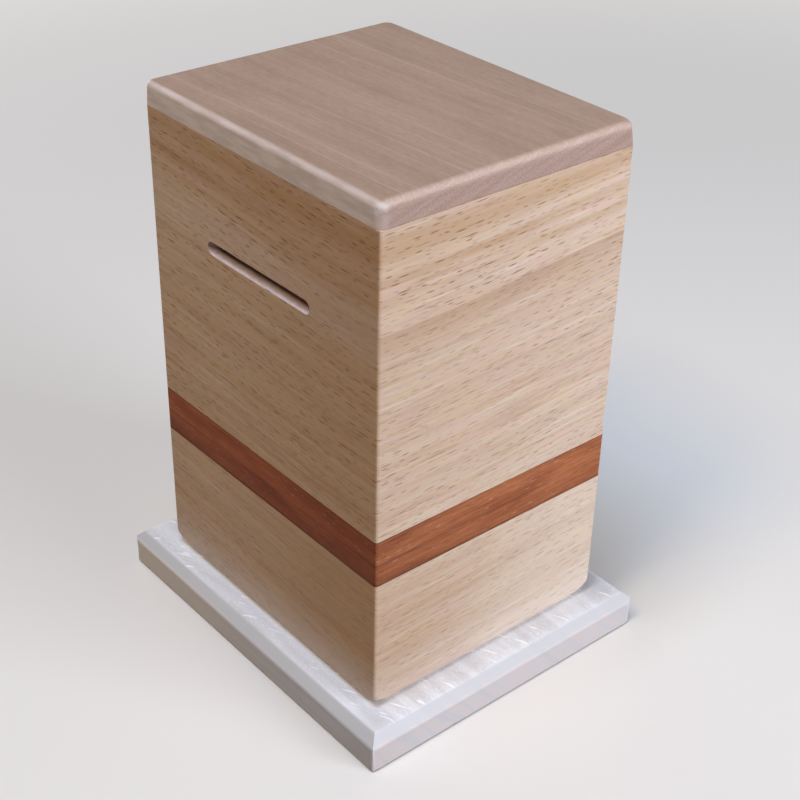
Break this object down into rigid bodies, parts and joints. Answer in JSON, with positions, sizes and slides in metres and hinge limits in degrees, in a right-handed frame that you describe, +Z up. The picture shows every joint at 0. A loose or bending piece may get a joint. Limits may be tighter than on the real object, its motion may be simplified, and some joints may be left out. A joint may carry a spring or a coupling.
{
  "type": "coin box",
  "caption": "Upright wooden coin box with a horizontal coin slot near the top of its front wall, a dark red band round the walls, a rounded lid and a wider screwed-on base plate.",
  "frame": {"origin": "middle of the base plate's underside, on the surface that the box stands on", "axes": "+Z up; the coin slot faces -Y; +X is to the right for someone who faces the slot"},
  "size_m": [0.0986, 0.083, 0.1323],
  "materials": {
    "beech_wall": "satin, oiled beech",
    "red_band": "satin, oiled red hardwood",
    "beech_lid": "satin, oiled beech",
    "raw_base": "raw, sanded pale wood",
    "screw_steel": "bright zinc-plated steel"
  },
  "bodies": {
    "base": {"base_plate": "raw_base"},
    "box": {"front_lower_board": "beech_wall", "front_band_strip": "red_band", "front_upper_board": "beech_wall", "right_lower_board": "beech_wall", "right_band_strip": "red_band", "right_upper_board": "beech_wall", "back_lower_board": "beech_wall", "back_band_strip": "red_band", "back_upper_board": "beech_wall", "left_lower_board": "beech_wall", "left_band_strip": "red_band", "left_upper_board": "beech_wall", "lid": "beech_lid"},
    "screw_front_left": {"screw_front_left": "screw_steel"},
    "screw_front_right": {"screw_front_right": "screw_steel"},
    "screw_back_left": {"screw_back_left": "screw_steel"},
    "screw_back_right": {"screw_back_right": "screw_steel"}
  },
  "joints": [
    {"name": "box_lift", "type": "slide", "parent": "base", "child": "box", "axis": [0, 0, 1], "range_m": [0, 0.15]},
    {"name": "screw_front_left_withdraw", "type": "slide", "parent": "base", "child": "screw_front_left", "axis": [0, 0, -1], "range_m": [0, 0.026]},
    {"name": "screw_front_right_withdraw", "type": "slide", "parent": "base", "child": "screw_front_right", "axis": [0, 0, -1], "range_m": [0, 0.026]},
    {"name": "screw_back_left_withdraw", "type": "slide", "parent": "base", "child": "screw_back_left", "axis": [0, 0, -1], "range_m": [0, 0.026]},
    {"name": "screw_back_right_withdraw", "type": "slide", "parent": "base", "child": "screw_back_right", "axis": [0, 0, -1], "range_m": [0, 0.026]}
  ]
}
